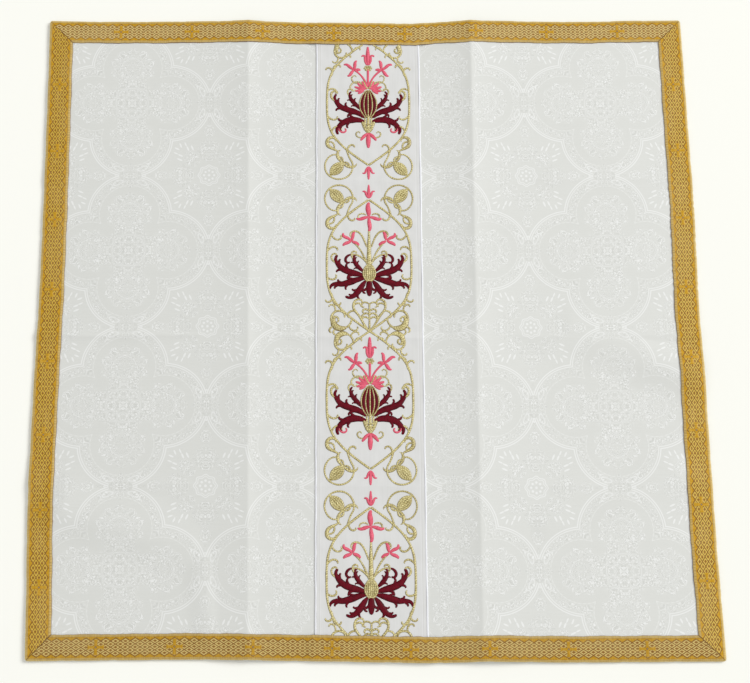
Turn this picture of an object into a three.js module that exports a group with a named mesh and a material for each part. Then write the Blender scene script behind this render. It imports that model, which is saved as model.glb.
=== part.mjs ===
// A chalice veil laid open: a square damask cloth with an embroidered band down its middle,
// a fine corded edging on each side of the band, and a woven galloon around all four sides.
// Millimetres, +Z up. +Y is the cloth's top edge, and the origin is on its underside, at the
// middle of the square that it was cut to.
//
// Every piece is first placed on the flat cut cloth, by how far across and how far up it is.
// layOut then moves the place to where it lies: the edges are a little uneven, and the folds
// that the cloth was stored in still stand up as ridges.
import * as THREE from "three";

// The cut cloth
const SIDE = 550;
const EDGE = SIDE / 2;
const CLOTH_INSET = 0.8;
const CLOTH_THICKNESS = 1.2;

// The galloon
const GALLOON_WIDTH = 20.3;
const GALLOON_THICKNESS = 1.0;
const INNER_EDGE = EDGE - GALLOON_WIDTH;
const MITRE_GAP = 0.3;

// The band and its edgings
const BAND_LEFT = -44.3;
const BAND_RIGHT = 42.3;
const BAND_THICKNESS = 1.0;
const BAND_TUCK = 2;
const EDGING_WIDTH = 1.5;

// Pieces that lie on or beside each other are this far apart
const GAP = 0.3;

// The galloon slopes down to the cloth over this width beside the band
const SLOPE = 10;

// Creases of the stored cloth, which was folded in three one way and in four the other
const LEFT_CREASE = -101.5;
const RIGHT_CREASE = 87.5;
const MIDDLE_CREASE = -10.5;
const UPPER_CREASE = 127.8;
const LOWER_CREASE = -135.3;
const LEFT_CREASE_LEAN = -3.5;
const RIGHT_CREASE_LEAN = 1;

// How far out each edge lies, between the places given
const TOP_EDGE = [
  { across: -275, up: 274.0 },
  { across: -228, up: 273.2 },
  { across: -144, up: 273.6 },
  { across: -74, up: 272.8 },
  { across: -46, up: 271.9 },
  { across: 0, up: 271.5 },
  { across: 38, up: 270.9 },
  { across: 60, up: 272.6 },
  { across: 122, up: 273.4 },
  { across: 192, up: 273.2 },
  { across: 220, up: 274.1 },
  { across: 275, up: 274.6 },
];
const BOTTOM_EDGE = [
  { across: -275, up: -275.3 },
  { across: -208, up: -274.6 },
  { across: -145, up: -274.0 },
  { across: -45, up: -275.4 },
  { across: 43, up: -276.9 },
  { across: 93, up: -275.8 },
  { across: 156, up: -276.3 },
  { across: 275, up: -275.4 },
];
const LEFT_EDGE = [
  { across: -272.4, up: -275 },
  { across: -273.7, up: -232 },
  { across: -275.9, up: -175 },
  { across: -276.8, up: -131 },
  { across: -276.5, up: -42 },
  { across: -275.7, up: 20 },
  { across: -276.1, up: 100 },
  { across: -277.2, up: 198 },
  { across: -278.4, up: 275 },
];
const RIGHT_EDGE = [
  { across: 276.6, up: -275 },
  { across: 275.7, up: -232 },
  { across: 274.7, up: -190 },
  { across: 273.9, up: -57 },
  { across: 272.7, up: 4 },
  { across: 274.0, up: 100 },
  { across: 272.6, up: 232 },
  { across: 272.0, up: 275 },
];

// Ridges from one place on the cut cloth to another. The height changes evenly from start to
// end. leftReach and rightReach say how far it takes to die away on each side, as seen going
// from start to end. A sharp ridge is a crease, and the others have a round top.
const RIDGES = [
  {
    name: "left third", sharp: true, leftReach: 20, rightReach: 30,
    start: { across: LEFT_CREASE, up: EDGE, height: 3.8 },
    end: { across: LEFT_CREASE, up: -EDGE, height: 3.0 },
  },
  {
    name: "right third", sharp: true, leftReach: 30, rightReach: 20,
    start: { across: RIGHT_CREASE, up: EDGE, height: 4.4 },
    end: { across: RIGHT_CREASE, up: -EDGE, height: 2.8 },
  },
  {
    name: "middle, left part", sharp: true, leftReach: 3.5, rightReach: 3.5,
    start: { across: -EDGE, up: MIDDLE_CREASE, height: 1.2 },
    end: { across: 60, up: MIDDLE_CREASE, height: 0.8 },
  },
  {
    name: "middle, right part", sharp: true, leftReach: 12, rightReach: 16,
    start: { across: 60, up: MIDDLE_CREASE, height: 0.8 },
    end: { across: EDGE, up: MIDDLE_CREASE, height: 2.0 },
  },
  {
    name: "upper quarter", sharp: true, leftReach: 8, rightReach: 8,
    start: { across: -EDGE, up: UPPER_CREASE, height: 0.7 },
    end: { across: EDGE, up: UPPER_CREASE, height: 0.7 },
  },
  {
    name: "lower quarter", sharp: true, leftReach: 8, rightReach: 8,
    start: { across: -EDGE, up: LOWER_CREASE, height: 0.7 },
    end: { across: EDGE, up: LOWER_CREASE, height: 0.7 },
  },
  {
    name: "right side", sharp: false, leftReach: 30, rightReach: 26,
    start: { across: 168, up: -8, height: 1.4 },
    end: { across: 268, up: -44, height: 3.4 },
  },
  {
    name: "lower left", sharp: false, leftReach: 34, rightReach: 24,
    start: { across: -246, up: -156, height: 2.8 },
    end: { across: -150, up: -188, height: 1.6 },
  },
  {
    name: "beside the left third", sharp: false, leftReach: 14, rightReach: 22,
    start: { across: -136, up: -196, height: 1.6 },
    end: { across: -130, up: -258, height: 1.8 },
  },
  {
    name: "lower right", sharp: false, leftReach: 22, rightReach: 16,
    start: { across: 140, up: -168, height: 1.2 },
    end: { across: 246, up: -128, height: 1.8 },
  },
];

// A ridge has died away where its profile is down to this share, and past its ends it fades
// over this length
const RIDGE_FLOOR = 0.08;
const RIDGE_FADE = 24;

// The cloth's grid has a line on each crease and at these distances beside it, and elsewhere
// lines no further apart than the spacing
const CREASE_LINES = [-24, -13, -6, -2, 0, 2, 6, 13, 24];
const FINE_CREASE_LINES = [-10, -4, 0, 4, 10];
const LINE_SPACING = 22;

const COLOURS = {
  damask: 0xe0e0db,
  satin: 0xdcdbd9,
  cord: 0xe9eaee,
  gold: 0xb5945a,
};

// Heights of the layers over the cloth's underside where it lies flat
const CLOTH_TOP = CLOTH_THICKNESS;
const BAND_BOTTOM = CLOTH_TOP + GAP;

// The value of a table's column at a place given by its other column, in a straight line
// between rows
function lookUp(table, key, value, at) {
  const next = table.findIndex((row) => row[key] >= at);
  if (next === 0) return table[0][value];
  if (next < 0) return table[table.length - 1][value];
  const low = table[next - 1];
  const high = table[next];
  return THREE.MathUtils.mapLinear(at, low[key], high[key], low[value], high[value]);
}

// How far across the left and right creases lie, which lean a little from top to bottom
const leftCreaseAt = (up) => LEFT_CREASE + (LEFT_CREASE_LEAN * up) / EDGE;
const rightCreaseAt = (up) => RIGHT_CREASE + (RIGHT_CREASE_LEAN * up) / EDGE;

// Where a place across and up on the cut cloth lies on the table, seen from above
function layFlat(across, up) {
  const left = lookUp(LEFT_EDGE, "up", "across", up);
  const right = lookUp(RIGHT_EDGE, "up", "across", up);
  const bottom = lookUp(BOTTOM_EDGE, "across", "up", across);
  const top = lookUp(TOP_EDGE, "across", "up", across);
  const columns = [
    { cut: -EDGE, laid: left },
    { cut: -INNER_EDGE, laid: left + GALLOON_WIDTH },
    { cut: LEFT_CREASE, laid: leftCreaseAt(up) },
    { cut: BAND_LEFT - SLOPE, laid: BAND_LEFT - SLOPE },
    { cut: BAND_RIGHT + SLOPE, laid: BAND_RIGHT + SLOPE },
    { cut: RIGHT_CREASE, laid: rightCreaseAt(up) },
    { cut: INNER_EDGE, laid: right - GALLOON_WIDTH },
    { cut: EDGE, laid: right },
  ];
  const rows = [
    { cut: -EDGE, laid: bottom },
    { cut: -INNER_EDGE, laid: bottom + GALLOON_WIDTH },
    { cut: INNER_EDGE, laid: top - GALLOON_WIDTH },
    { cut: EDGE, laid: top },
  ];
  return [lookUp(columns, "cut", "laid", across), lookUp(rows, "cut", "laid", up)];
}

// The share of a ridge's height that is left at a distance from its line
function ridgeProfile(distance, reach, sharp) {
  const ratio = distance / reach;
  const share = sharp ? Math.exp(-ratio) : Math.exp(-2 * ratio * ratio);
  return Math.max(0, (share - RIDGE_FLOOR) / (1 - RIDGE_FLOOR));
}

// How high one ridge lifts the cloth at a place
function ridgeHeight({ start, end, leftReach, rightReach, sharp }, across, up) {
  const length = Math.hypot(end.across - start.across, end.up - start.up);
  const along = { x: (end.across - start.across) / length, y: (end.up - start.up) / length };
  const from = { x: across - start.across, y: up - start.up };
  const run = from.x * along.x + from.y * along.y;
  const side = along.x * from.y - along.y * from.x;
  const height = THREE.MathUtils.lerp(
    start.height, end.height, THREE.MathUtils.clamp(run / length, 0, 1),
  );
  const past = Math.max(0, -run, run - length);
  const fade = 1 - THREE.MathUtils.smoothstep(past, 0, RIDGE_FADE);
  return height * fade * ridgeProfile(Math.abs(side), side > 0 ? leftReach : rightReach, sharp);
}

// How high the folds lift the cloth at a place
function foldHeight(across, up) {
  return Math.max(...RIDGES.map((ridge) => ridgeHeight(ridge, across, up)));
}

// Grid lines through the fixed places, with more between them where they are far apart
function gridLines(fixed) {
  const lines = [...new Set(fixed)].sort((a, b) => a - b);
  return lines.flatMap((line, i) => {
    if (i === lines.length - 1) return [line];
    const width = lines[i + 1] - line;
    const parts = Math.ceil(width / LINE_SPACING);
    return Array.from({ length: parts }, (_, k) => line + (width * k) / parts);
  });
}

const near = (crease, offsets) => offsets.map((offset) => crease + offset);
const CLOTH_EDGE = EDGE - CLOTH_INSET;
const COLUMNS = gridLines([
  -CLOTH_EDGE, -INNER_EDGE, INNER_EDGE, CLOTH_EDGE,
  ...near(LEFT_CREASE, CREASE_LINES),
  ...near(RIGHT_CREASE, CREASE_LINES),
]);
const ROWS = gridLines([
  -CLOTH_EDGE, -INNER_EDGE, INNER_EDGE, CLOTH_EDGE,
  ...near(MIDDLE_CREASE, FINE_CREASE_LINES),
  ...near(UPPER_CREASE, FINE_CREASE_LINES),
  ...near(LOWER_CREASE, FINE_CREASE_LINES),
]);

// The grid line at or before a place, and how far the place is to the next line
function cellOf(lines, at) {
  const last = lines.length - 2;
  const next = lines.findIndex((line) => line > at);
  const cell = next < 0 ? last : THREE.MathUtils.clamp(next - 1, 0, last);
  const part = THREE.MathUtils.inverseLerp(lines[cell], lines[cell + 1], at);
  return [cell, THREE.MathUtils.clamp(part, 0, 1)];
}

const FOLDS = ROWS.map((up) => COLUMNS.map((across) => foldHeight(across, up)));

// The cloth's lift, straight between its grid lines, so that each layer follows the one below
function liftAt(across, up) {
  const [i, x] = cellOf(COLUMNS, across);
  const [j, y] = cellOf(ROWS, up);
  const lower = THREE.MathUtils.lerp(FOLDS[j][i], FOLDS[j][i + 1], x);
  const upper = THREE.MathUtils.lerp(FOLDS[j + 1][i], FOLDS[j + 1][i + 1], x);
  return THREE.MathUtils.lerp(lower, upper, y);
}

// Where a point lies: its place on the cut cloth and its height over the cloth's underside
function layOut(across, up, height) {
  const [x, y] = layFlat(across, up);
  return [x, y, liftAt(across, up) + height];
}

// A closed sheet over a net of places. place gives the place of column i and row j, and bottom
// gives the height of the sheet's underside there.
function sheet(columnCount, rowCount, place, bottom, thickness) {
  const positions = [];
  for (const layer of [0, thickness]) {
    for (let j = 0; j < rowCount; j++) {
      for (let i = 0; i < columnCount; i++) {
        const [across, up] = place(i, j);
        positions.push(...layOut(across, up, bottom(across, up) + layer));
      }
    }
  }
  const layerSize = columnCount * rowCount;
  const index = [];
  const quad = (a, b, c, d) => index.push(a, b, c, a, c, d);
  for (let j = 0; j < rowCount - 1; j++) {
    for (let i = 0; i < columnCount - 1; i++) {
      const a = j * columnCount + i;
      const d = a + columnCount;
      const [top, right, far, left] = [a, a + 1, d + 1, d].map((corner) => corner + layerSize);
      quad(top, right, far, left);
      index.push(a, d + 1, a + 1, a, d, d + 1);
    }
  }
  const rim = [];
  for (let i = 0; i < columnCount - 1; i++) rim.push(i);
  for (let j = 0; j < rowCount - 1; j++) rim.push(j * columnCount + columnCount - 1);
  for (let i = columnCount - 1; i > 0; i--) rim.push((rowCount - 1) * columnCount + i);
  for (let j = rowCount - 1; j > 0; j--) rim.push(j * columnCount);
  rim.forEach((a, k) => {
    const b = rim[(k + 1) % rim.length];
    quad(a, b, b + layerSize, a + layerSize);
  });
  const geometry = new THREE.BufferGeometry();
  geometry.setAttribute("position", new THREE.Float32BufferAttribute(positions, 3));
  geometry.setIndex(index);
  geometry.computeVertexNormals();
  return geometry;
}

// A sheet over straight grid lines
function straightSheet(columns, rows, bottom, thickness) {
  const place = (i, j) => [columns[i], rows[j]];
  return sheet(columns.length, rows.length, place, bottom, thickness);
}

const cloth = new THREE.Group();
const MATERIALS = {
  damask: new THREE.MeshStandardMaterial({ color: COLOURS.damask, roughness: 0.75 }),
  satin: new THREE.MeshStandardMaterial({ color: COLOURS.satin, roughness: 0.45 }),
  cord: new THREE.MeshStandardMaterial({ color: COLOURS.cord, roughness: 0.6 }),
  gold: new THREE.MeshStandardMaterial({ color: COLOURS.gold, roughness: 0.5, metalness: 0.2 }),
};

function add(name, geometry, material) {
  const piece = new THREE.Mesh(geometry, material);
  piece.name = name;
  cloth.add(piece);
}

// The damask ground, one piece from edge to edge
add("ground_cloth", straightSheet(COLUMNS, ROWS, () => 0, CLOTH_THICKNESS), MATERIALS.damask);

// The satin band and its two edgings, whose ends lie under the galloon
const bandEnd = EDGE - BAND_TUCK;
const bandRows = [-bandEnd, ...ROWS.slice(1, -1), bandEnd];
const onCloth = () => BAND_BOTTOM;
add(
  "centre_band",
  straightSheet([BAND_LEFT, BAND_RIGHT], bandRows, onCloth, BAND_THICKNESS),
  MATERIALS.satin,
);
const leftCord = BAND_LEFT - GAP;
const rightCord = BAND_RIGHT + GAP;
const EDGINGS = [
  { name: "band_edging_left", from: leftCord - EDGING_WIDTH, to: leftCord },
  { name: "band_edging_right", from: rightCord, to: rightCord + EDGING_WIDTH },
];
for (const { name, from, to } of EDGINGS) {
  add(name, straightSheet([from, to], bandRows, onCloth, BAND_THICKNESS), MATERIALS.cord);
}

// The galloon's underside: on the cloth, and up over the band and its edgings
const OVER_LEFT = EDGINGS[0].from - GAP;
const OVER_RIGHT = EDGINGS[1].to + GAP;
function underGalloon(across) {
  const beside = Math.max(OVER_LEFT - across, across - OVER_RIGHT, 0);
  const climb = 1 - THREE.MathUtils.smoothstep(beside, 0, SLOPE);
  return CLOTH_TOP + GAP + climb * (BAND_THICKNESS + GAP);
}

// Stations on the slopes beside the band, and how far a mitred end keeps back along the edge
const SLOPE_STEPS = [0, 0.25, 0.5, 0.75, 1];
const slopeLines = SLOPE_STEPS.flatMap((step) => [
  OVER_LEFT - step * SLOPE, OVER_RIGHT + step * SLOPE,
]);
const insideLines = (lines) => lines.filter((line) => Math.abs(line) < INNER_EDGE - GAP);
const sorted = (lines) => [...new Set(lines)].sort((a, b) => a - b);
const MITRE_OFFSET = (MITRE_GAP * Math.SQRT2) / 2;

// A strip of galloon along one edge. turn gives a place on the cut cloth from its station
// along the edge and its distance out from the middle.
function galloonStrip(stations, turn, fromInside) {
  const widths = fromInside ? [INNER_EDGE, EDGE] : [EDGE, INNER_EDGE];
  const place = (i, j) => {
    const out = widths[j];
    const end = out - MITRE_OFFSET;
    const along = [-end, ...stations, end][i];
    return turn(along, out);
  };
  return { count: stations.length + 2, place };
}

const acrossStations = sorted([...insideLines(COLUMNS), ...slopeLines]);
const upStations = insideLines(ROWS);
const top = galloonStrip(acrossStations, (along, out) => [along, out], true);
const bottom = galloonStrip(acrossStations, (along, out) => [along, -out], false);
const right = galloonStrip(upStations, (along, out) => [out, along], true);
const left = galloonStrip(upStations, (along, out) => [-out, along], false);
for (const [name, strip] of Object.entries({ galloon_top: top, galloon_bottom: bottom })) {
  const geometry = sheet(strip.count, 2, strip.place, underGalloon, GALLOON_THICKNESS);
  add(name, geometry, MATERIALS.gold);
}
for (const [name, strip] of Object.entries({ galloon_right: right, galloon_left: left })) {
  const place = (i, j) => strip.place(j, i);
  const geometry = sheet(2, strip.count, place, () => CLOTH_TOP + GAP, GALLOON_THICKNESS);
  add(name, geometry, MATERIALS.gold);
}

export default cloth;
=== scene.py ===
"""A chalice veil laid open on a pale table: white damask with woven figures, a satin band
embroidered in gold, burgundy and pink, white cords along the band, and a gold galloon.

Sizes in the tables are millimetres, and meshes are made in metres. The tables of edges and
folds are those of the part's source.
"""
import math
from functools import partialmethod

import bpy
import numpy as np
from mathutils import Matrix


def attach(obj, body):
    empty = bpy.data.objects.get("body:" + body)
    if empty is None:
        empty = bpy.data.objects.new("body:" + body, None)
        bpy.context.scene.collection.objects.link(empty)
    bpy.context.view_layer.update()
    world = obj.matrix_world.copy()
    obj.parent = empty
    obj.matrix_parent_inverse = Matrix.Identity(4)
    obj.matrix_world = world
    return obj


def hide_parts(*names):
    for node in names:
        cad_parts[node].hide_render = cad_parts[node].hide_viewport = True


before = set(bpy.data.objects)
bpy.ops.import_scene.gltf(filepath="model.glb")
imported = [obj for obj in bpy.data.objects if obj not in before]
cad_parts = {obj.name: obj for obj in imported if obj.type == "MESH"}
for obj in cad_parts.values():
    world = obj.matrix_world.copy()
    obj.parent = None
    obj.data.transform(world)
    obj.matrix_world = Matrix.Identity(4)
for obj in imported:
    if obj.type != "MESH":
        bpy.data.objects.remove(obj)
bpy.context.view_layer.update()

MM = 0.001
SHARP_ANGLE = 62.0

# The cut cloth and its pieces
EDGE = 275.0
CLOTH_INSET = 0.8
CLOTH_THICKNESS = 1.2
GALLOON_WIDTH = 20.3
INNER_EDGE = EDGE - GALLOON_WIDTH
MITRE_OFFSET = 0.15
BAND_LEFT = -44.3
BAND_RIGHT = 42.3
BAND_MIDDLE = (BAND_LEFT + BAND_RIGHT) / 2
BAND_TUCK = 2.0
SLOPE = 10.0
EDGING_WIDTH = 1.5
GAP = 0.3

# Creases of the stored cloth
LEFT_CREASE = -101.5
RIGHT_CREASE = 87.5
MIDDLE_CREASE = -10.5
UPPER_CREASE = 127.8
LOWER_CREASE = -135.3
LEFT_CREASE_LEAN = -3.5
RIGHT_CREASE_LEAN = 1.0

# Where each edge lies: places along it, and how far out it is there
TOP_EDGE = (
    (-275, -228, -144, -74, -46, 0, 38, 60, 122, 192, 220, 275),
    (274.0, 273.2, 273.6, 272.8, 271.9, 271.5, 270.9, 272.6, 273.4, 273.2, 274.1, 274.6),
)
BOTTOM_EDGE = (
    (-275, -208, -145, -45, 43, 93, 156, 275),
    (-275.3, -274.6, -274.0, -275.4, -276.9, -275.8, -276.3, -275.4),
)
LEFT_EDGE = (
    (-275, -232, -175, -131, -42, 20, 100, 198, 275),
    (-272.4, -273.7, -275.9, -276.8, -276.5, -275.7, -276.1, -277.2, -278.4),
)
RIGHT_EDGE = (
    (-275, -232, -190, -57, 4, 100, 232, 275),
    (276.6, 275.7, 274.7, 273.9, 272.7, 274.0, 272.6, 272.0),
)

# Ridges: sharp or round, left and right reach as seen from start to end, then across, up and
# height at the start and at the end
RIDGES = (
    (True, 20, 30, (LEFT_CREASE, EDGE, 3.8), (LEFT_CREASE, -EDGE, 3.0)),
    (True, 30, 20, (RIGHT_CREASE, EDGE, 4.4), (RIGHT_CREASE, -EDGE, 2.8)),
    (True, 3.5, 3.5, (-EDGE, MIDDLE_CREASE, 1.2), (60, MIDDLE_CREASE, 0.8)),
    (True, 12, 16, (60, MIDDLE_CREASE, 0.8), (EDGE, MIDDLE_CREASE, 2.0)),
    (True, 8, 8, (-EDGE, UPPER_CREASE, 0.7), (EDGE, UPPER_CREASE, 0.7)),
    (True, 8, 8, (-EDGE, LOWER_CREASE, 0.7), (EDGE, LOWER_CREASE, 0.7)),
    (False, 30, 26, (168, -8, 1.4), (268, -44, 3.4)),
    (False, 34, 24, (-246, -156, 2.8), (-150, -188, 1.6)),
    (False, 14, 22, (-136, -196, 1.6), (-130, -258, 1.8)),
    (False, 22, 16, (140, -168, 1.2), (246, -128, 1.8)),
)
RIDGE_FLOOR = 0.08
RIDGE_FADE = 24.0
CREASE_ROUNDING = 0.5

# Slow unevenness of the lying cloth: waves across and up, phase, height
WAVES = (
    (0.031, 0.012, 0.4, 0.16),
    (-0.017, 0.043, 2.1, 0.14),
    (0.062, -0.055, 4.0, 0.07),
    (0.094, 0.081, 1.3, 0.04),
    (-0.121, 0.067, 5.2, 0.03),
)


def smoothstep(value, low, high):
    """0 below low, 1 above high, and smooth between."""
    t = np.clip((value - low) / (high - low), 0, 1)
    return t * t * (3 - 2 * t)


def piecewise(cuts, laid, at):
    """Where a cut place lies, straight between the places given. laid may hold arrays."""
    total = laid[0] + np.zeros_like(at)
    for k in range(len(cuts) - 1):
        share = np.clip((at - cuts[k]) / (cuts[k + 1] - cuts[k]), 0, 1)
        total = total + share * (laid[k + 1] - laid[k])
    return total


def lay_flat(across, up):
    """Where places on the cut cloth lie, seen from above."""
    left = np.interp(up, *LEFT_EDGE)
    right = np.interp(up, *RIGHT_EDGE)
    bottom = np.interp(across, *BOTTOM_EDGE)
    top = np.interp(across, *TOP_EDGE)
    x = piecewise(
        (-EDGE, -INNER_EDGE, LEFT_CREASE, BAND_LEFT - SLOPE,
         BAND_RIGHT + SLOPE, RIGHT_CREASE, INNER_EDGE, EDGE),
        (left, left + GALLOON_WIDTH, LEFT_CREASE + LEFT_CREASE_LEAN * up / EDGE, BAND_LEFT - SLOPE,
         BAND_RIGHT + SLOPE, RIGHT_CREASE + RIGHT_CREASE_LEAN * up / EDGE,
         right - GALLOON_WIDTH, right),
        across,
    )
    y = piecewise(
        (-EDGE, -INNER_EDGE, INNER_EDGE, EDGE),
        (bottom, bottom + GALLOON_WIDTH, top - GALLOON_WIDTH, top),
        up,
    )
    return x, y


def up_on_cut(x, y):
    """How far up on the cut cloth a place in the band is, from where it lies."""
    low = np.interp(x, *BOTTOM_EDGE) + GALLOON_WIDTH
    high = np.interp(x, *TOP_EDGE) - GALLOON_WIDTH
    return -INNER_EDGE + 2 * INNER_EDGE * (y - low) / (high - low)


def ridge_height(ridge, across, up):
    """How high one ridge lifts the cloth."""
    sharp, left_reach, right_reach, start, end = ridge
    length = math.hypot(end[0] - start[0], end[1] - start[1])
    along_x = (end[0] - start[0]) / length
    along_y = (end[1] - start[1]) / length
    run = (across - start[0]) * along_x + (up - start[1]) * along_y
    side = along_x * (up - start[1]) - along_y * (across - start[0])
    height = start[2] + (end[2] - start[2]) * np.clip(run / length, 0, 1)
    past = np.maximum(0, np.maximum(-run, run - length))
    reach = np.where(side > 0, left_reach, right_reach)
    distance = np.abs(side)
    if sharp:
        ratio = (np.sqrt(distance**2 + CREASE_ROUNDING**2) - CREASE_ROUNDING) / reach
        share = np.exp(-ratio)
    else:
        share = np.exp(-2 * (distance / reach) ** 2)
    fade = 1 - smoothstep(past, 0, RIDGE_FADE)
    return height * fade * np.maximum(0, (share - RIDGE_FLOOR) / (1 - RIDGE_FLOOR))


def lift_at(across, up):
    """How high the folds and the slow unevenness lift the cloth."""
    fold = np.zeros(np.broadcast(across, up).shape)
    for ridge in RIDGES:
        fold = np.maximum(fold, ridge_height(ridge, across, up))
    wave = sum(h * (1 + np.sin(a * across + b * up + p)) for a, b, p, h in WAVES)
    return fold + wave


def lay_out(across, up, height):
    """Places on the laid cloth, as an array with x, y and z in millimetres."""
    x, y = lay_flat(across, up)
    return np.stack(np.broadcast_arrays(x, y, lift_at(across, up) + height), axis=-1)


# Meshes

def make_piece(name, points, faces, material, uvs):
    """A smooth mesh object from points in millimetres, with named UV layers."""
    mesh = bpy.data.meshes.new(name)
    mesh.from_pydata((np.asarray(points) * MM).tolist(), [], faces)
    corners = np.empty(len(mesh.loops), dtype=np.int32)
    mesh.loops.foreach_get("vertex_index", corners)
    for layer_name, values in uvs.items():
        layer = mesh.uv_layers.new(name=layer_name)
        layer.data.foreach_set("uv", np.asarray(values, dtype=np.float32)[corners].ravel())
    mesh.shade_smooth()
    mesh.set_sharp_from_angle(angle=math.radians(SHARP_ANGLE))
    mesh.materials.append(material)
    piece = bpy.data.objects.new(name, mesh)
    bpy.context.scene.collection.objects.link(piece)
    return piece


def grid_faces(rows, columns, first, flip):
    """Quads of a grid of points whose first point has that number."""
    j, i = np.meshgrid(np.arange(rows - 1), np.arange(columns - 1), indexing="ij")
    a = first + j * columns + i
    quads = np.stack([a, a + 1, a + columns + 1, a + columns], axis=-1).reshape(-1, 4)
    return (quads[:, ::-1] if flip else quads).tolist()


def tube_faces(rings, sides, first, flip):
    """Faces of a closed tube of rings of points, with flat ends."""
    faces = []
    last = first + (rings - 1) * sides
    for a in range(first, last, sides):
        faces.append([a + sides - 1, a, a + sides, a + 2 * sides - 1])
    faces.append([first + i for i in range(sides)][::-1])
    faces.append([last + i for i in range(sides)])
    if flip:
        faces = [face[::-1] for face in faces]
    return faces + grid_faces(rings, sides, first, flip)


def closed_sheet(name, top, under, uvs, material):
    """A closed sheet between a top grid of points and an underside with as many rows.
    The underside has as many columns as the top, or only its two outer ones."""
    rows, columns = top.shape[:2]
    under_columns = under.shape[1]
    points = np.concatenate([top.reshape(-1, 3), under.reshape(-1, 3)])
    base = rows * columns
    faces = grid_faces(rows, columns, 0, False)
    faces += grid_faces(rows, under_columns, base, True)
    for j in range(rows - 1):
        a, b = j * columns, (j + 1) * columns
        c, d = base + j * under_columns, base + (j + 1) * under_columns
        faces.append([a, b, d, c])
        faces.append([b - 1, c + under_columns - 1, d + under_columns - 1, b + columns - 1])
    for row, flip in ((0, False), (rows - 1, True)):
        upper = [row * columns + i for i in range(columns)]
        lower = [base + row * under_columns + i for i in range(under_columns)]
        if under_columns == columns:
            ends = [[lower[i], lower[i + 1], upper[i + 1], upper[i]] for i in range(columns - 1)]
        else:
            ends = [lower + upper[::-1]]
        faces += [face[::-1] if flip else face for face in ends]
    layers = {}
    for layer, uv in uvs.items():
        under_uv = uv if under_columns == columns else uv[:, [0, -1]]
        layers[layer] = np.concatenate([uv.reshape(-1, 2), under_uv.reshape(-1, 2)])
    return make_piece(name, points, faces, material, layers)


def spaced(low, high, spacing):
    """Places from low to high, no further apart than the spacing."""
    return np.linspace(low, high, int(math.ceil((high - low) / spacing)) + 1)


def lines_with_creases(low, high, spacing, creases, fine, reach):
    """Grid lines from low to high, closer together near the creases."""
    lines = [spaced(low, high, spacing)]
    for crease in creases:
        lines.append(crease + spaced(-reach, reach, fine))
    merged = np.unique(np.round(np.concatenate(lines), 3))
    keep = [merged[0]]
    for value in merged[1:-1]:
        if value - keep[-1] >= fine * 0.7 and merged[-1] - value >= fine * 0.7:
            keep.append(value)
    return np.array(keep + [merged[-1]])


# Materials

LIGHT_ON_CLOTH = 1.06
BRIGHTEST = 0.95
SHEEN_ROUGHNESS = 0.4


def linear(*shown):
    """A surface colour, from the colour out of 255 that it shows under the scene's light."""
    values = []
    for part in shown:
        c = part / 255
        c = c / 12.92 if c <= 0.04045 else ((c + 0.055) / 1.055) ** 2.4
        values.append(min(c / LIGHT_ON_CLOTH, BRIGHTEST))
    return (*values, 1.0)


class Field:
    """A number that varies over a surface, worked out by the material's Math nodes."""

    def __init__(self, tree, socket):
        self.tree = tree
        self.socket = socket

    def apply(self, operation, *others):
        node = self.tree.nodes.new("ShaderNodeMath")
        node.operation = operation
        for entry, value in zip(node.inputs, (self, *others)):
            if isinstance(value, Field):
                self.tree.links.new(value.socket, entry)
            else:
                entry.default_value = value
        return Field(self.tree, node.outputs[0])

    __add__ = partialmethod(apply, "ADD")
    __sub__ = partialmethod(apply, "SUBTRACT")
    __mul__ = partialmethod(apply, "MULTIPLY")
    __truediv__ = partialmethod(apply, "DIVIDE")
    least = partialmethod(apply, "MINIMUM")
    most = partialmethod(apply, "MAXIMUM")
    size = partialmethod(apply, "ABSOLUTE")
    cosine = partialmethod(apply, "COSINE")
    arctan2 = partialmethod(apply, "ARCTAN2")
    flipped = partialmethod(apply, "MULTIPLY_ADD", -1.0, 1.0)

    def fold(self, pitch):
        """Distance to the nearest multiple of the pitch."""
        return self.apply("PINGPONG", pitch / 2)

    def past(self, edge, blur):
        """0 below the edge and 1 past it, blurred over that much on each side."""
        node = self.tree.nodes.new("ShaderNodeMapRange")
        node.interpolation_type = "SMOOTHSTEP"
        self.tree.links.new(self.socket, node.inputs["Value"])
        node.inputs["From Min"].default_value = edge - blur
        node.inputs["From Max"].default_value = edge + blur
        return Field(self.tree, node.outputs["Result"])

    def within(self, edge, blur):
        return self.past(edge, blur).flipped()

    def line(self, at, half_width, blur):
        """1 on a line where the field has that value."""
        return (self - at).size().within(half_width, blur)

    def hypot(self, other):
        return (self * self + other * other).apply("SQRT")


def any_of(fields):
    """The greatest of several fields at each place."""
    greatest = fields[0]
    for field in fields[1:]:
        greatest = greatest.most(field)
    return greatest


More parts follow.
